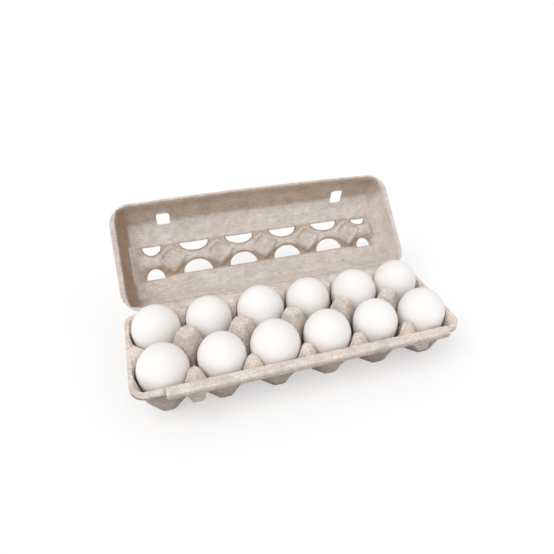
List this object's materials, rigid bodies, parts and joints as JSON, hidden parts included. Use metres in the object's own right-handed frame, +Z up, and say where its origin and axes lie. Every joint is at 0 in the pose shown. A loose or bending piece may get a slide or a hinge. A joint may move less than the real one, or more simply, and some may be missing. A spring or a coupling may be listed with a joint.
{
  "type": "egg carton with eggs",
  "caption": "Moulded-pulp egg carton in two rows of cells, filled with white hens' eggs, its hinged lid open and its locking flap folded down",
  "frame": {"origin": "middle of the underside of the bounding box of the whole, lid open, on the surface it stands on", "axes": "+X along the carton to the right as seen from the flap side, +Y from the flap side towards the lid hinge, +Z up"},
  "size_m": [0.2946, 0.1994, 0.1167],
  "materials": {
    "tray_pulp": "matte",
    "lid_pulp": "matte",
    "flap_pulp": "matte",
    "eggshell": "matte"
  },
  "bodies": {
    "tray": {"tray": "tray_pulp", "egg_front_1": "eggshell", "egg_front_2": "eggshell", "egg_front_3": "eggshell", "egg_front_4": "eggshell", "egg_front_5": "eggshell", "egg_front_6": "eggshell", "egg_rear_1": "eggshell", "egg_rear_2": "eggshell", "egg_rear_3": "eggshell", "egg_rear_4": "eggshell", "egg_rear_5": "eggshell", "egg_rear_6": "eggshell"},
    "lid": {"lid": "lid_pulp"},
    "flap": {"flap": "flap_pulp"}
  },
  "joints": [
    {"name": "lid_hinge", "type": "hinge", "parent": "tray", "child": "lid", "pos_m": [0, 0.01599, 0.04011], "axis": [1, 0, 0], "range_deg": [-45, 135]},
    {"name": "flap_hinge", "type": "hinge", "parent": "tray", "child": "flap", "pos_m": [0, -0.08631, 0.04021], "axis": [-1, 0, 0], "range_deg": [0, 137]}
  ]
}
